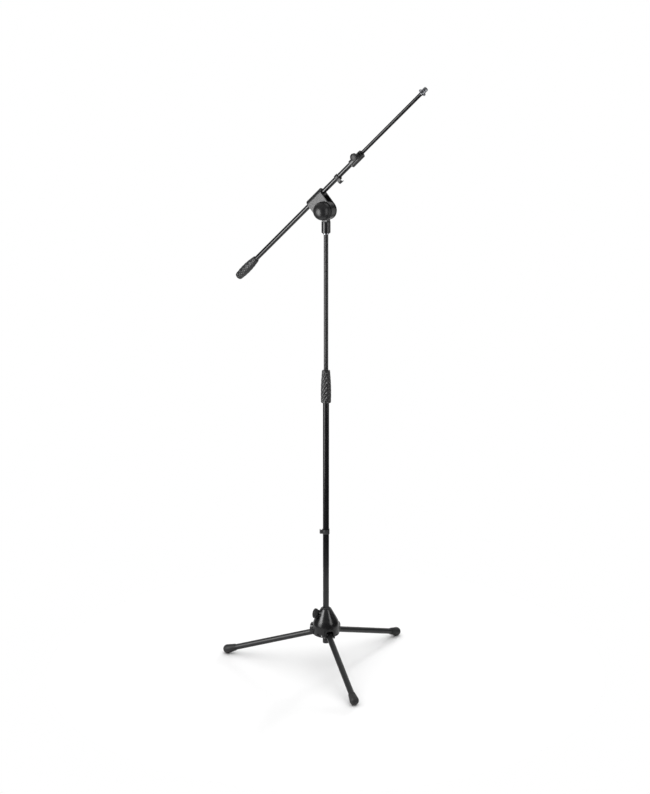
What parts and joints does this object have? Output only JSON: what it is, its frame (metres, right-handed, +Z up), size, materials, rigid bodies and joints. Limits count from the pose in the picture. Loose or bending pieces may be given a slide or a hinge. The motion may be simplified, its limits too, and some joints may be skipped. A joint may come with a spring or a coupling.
{
  "type": "boom microphone stand",
  "caption": "Folding tripod microphone stand with a telescopic column, a clamped tilting boom and a threaded microphone tip.",
  "frame": {"origin": "on the floor, under the middle of the column", "axes": "+Z up along the column; the boom lies in the XZ plane with its microphone end towards +X; the pivot knob faces -Y"},
  "size_m": [0.7671, 0.6486, 2.091],
  "materials": {
    "housing_plastic": "glossy black moulded nylon",
    "nylon": "natural moulded black nylon",
    "black_moulding": "satin black moulding",
    "brass": "turned brass",
    "zinc_steel": "zinc-plated steel",
    "black_steel": "black-oxide steel",
    "tube_paint": "glossy black powder-coated steel tube",
    "bracket_paint": "satin black powder-coated steel sheet",
    "knob_plastic": "satin-gloss black moulding",
    "chrome": "bright chrome plate",
    "foot_rubber": "matt black rubber",
    "grip_rubber": "dark grey textured rubber",
    "clip_plastic": "satin black plastic"
  },
  "bodies": {
    "base": {"base_housing": "housing_plastic", "base_bush": "nylon", "base_insert": "brass", "housing_screws": "black_steel", "leg_hinge_pins": "black_steel"},
    "base_knob": {"base_knob": "knob_plastic", "base_bolt": "chrome"},
    "leg_left": {"leg_tube_left": "tube_paint", "leg_knuckle_left": "black_moulding", "foot_cap_left": "foot_rubber"},
    "leg_right": {"leg_tube_right": "tube_paint", "leg_knuckle_right": "black_moulding", "foot_cap_right": "foot_rubber"},
    "leg_front": {"leg_tube_front": "tube_paint", "leg_knuckle_front": "black_moulding", "foot_cap_front": "foot_rubber"},
    "column_lower": {"lower_tube": "tube_paint", "tube_foot_plug": "black_moulding", "clutch_body": "nylon", "clutch_collet": "nylon"},
    "column_clip": {"column_clip": "clip_plastic"},
    "clutch_grip": {"clutch_shell": "black_moulding", "clutch_cover": "grip_rubber"},
    "column_upper": {"upper_tube": "tube_paint", "upper_guide_bush": "nylon", "column_stud": "chrome"},
    "head": {"head_fitting": "black_moulding", "friction_discs": "nylon"},
    "bracket": {"boom_bracket": "bracket_paint", "boom_saddle": "nylon", "pivot_bolt": "zinc_steel"},
    "head_knob": {"head_knob": "knob_plastic", "head_knob_insert": "brass"},
    "boom_outer": {"boom_tube_outer": "tube_paint", "boom_end_plug": "nylon", "boom_grip": "grip_rubber", "boom_lock_body": "black_moulding", "boom_lock_bush": "nylon", "boom_lock_insert": "brass"},
    "boom_clip": {"boom_clip": "clip_plastic"},
    "boom_lock_knob": {"boom_lock_knob": "knob_plastic", "boom_lock_bolt": "chrome"},
    "boom_inner": {"boom_tube_inner": "tube_paint", "inner_guide_bush": "nylon", "tip_stud": "black_steel"},
    "tip_adapter": {"thread_adapter": "chrome"}
  },
  "joints": [
    {"name": "base_knob_turn", "type": "hinge", "parent": "base", "child": "base_knob", "pos_m": [-0.02351, -0.03358, 0.19902], "axis": [-0.5455, -0.7791, 0.309], "range_deg": [0, 360]},
    {"name": "leg_left_fold", "type": "hinge", "parent": "base", "child": "leg_left", "pos_m": [-0.03614, -0.01174, 0.1224], "axis": [0.309, -0.9511, 0], "range_deg": [0, 72]},
    {"name": "leg_right_fold", "type": "hinge", "parent": "base", "child": "leg_right", "pos_m": [0.0079, 0.03717, 0.1224], "axis": [-0.9781, 0.2079, 0], "range_deg": [0, 72]},
    {"name": "leg_front_fold", "type": "hinge", "parent": "base", "child": "leg_front", "pos_m": [0.02824, -0.02543, 0.1224], "axis": [0.6691, 0.7431, 0], "range_deg": [0, 72]},
    {"name": "column_in_base", "type": "slide", "parent": "base", "child": "column_lower", "axis": [0, 0, 1], "range_m": [-0.055, 0.015]},
    {"name": "column_clip_slide", "type": "slide", "parent": "column_lower", "child": "column_clip", "axis": [0, 0, 1], "range_m": [-0.2, 0.4]},
    {"name": "clutch_turn", "type": "hinge", "parent": "column_lower", "child": "clutch_grip", "pos_m": [0, 0, 1.036], "axis": [0, 0, 1], "range_deg": [-180, 0]},
    {"name": "column_height", "type": "slide", "parent": "column_lower", "child": "column_upper", "axis": [0, 0, 1], "range_m": [-0.475, 0.1]},
    {"name": "boom_pan", "type": "hinge", "parent": "column_upper", "child": "head", "pos_m": [0, 0, 1.6], "axis": [0, 0, 1], "range_deg": [-180, 180]},
    {"name": "boom_tilt", "type": "hinge", "parent": "head", "child": "bracket", "pos_m": [0, 0, 1.656], "axis": [0, -1, 0], "range_deg": [-132, 47]},
    {"name": "head_knob_turn", "type": "hinge", "parent": "bracket", "child": "head_knob", "pos_m": [0, -0.03, 1.656], "axis": [0, -1, 0], "range_deg": [0, 360]},
    {"name": "boom_slide", "type": "slide", "parent": "bracket", "child": "boom_outer", "axis": [0.7337, 0, 0.6794], "range_m": [-0.045, 0.3]},
    {"name": "boom_clip_slide", "type": "slide", "parent": "boom_outer", "child": "boom_clip", "axis": [0.7337, 0, 0.6794], "range_m": [-0.015, 0.055]},
    {"name": "boom_lock_turn", "type": "hinge", "parent": "boom_outer", "child": "boom_lock_knob", "pos_m": [0.12954, -0.03, 1.84874], "axis": [0, -1, 0], "range_deg": [0, 360]},
    {"name": "boom_length", "type": "slide", "parent": "boom_outer", "child": "boom_inner", "axis": [0.7337, 0, 0.6794], "range_m": [-0.288, 0.06]},
    {"name": "adapter_turn", "type": "hinge", "parent": "boom_inner", "child": "tip_adapter", "pos_m": [0.37827, 0, 2.07907], "axis": [0.7337, 0, 0.6794], "continuous": true}
  ]
}
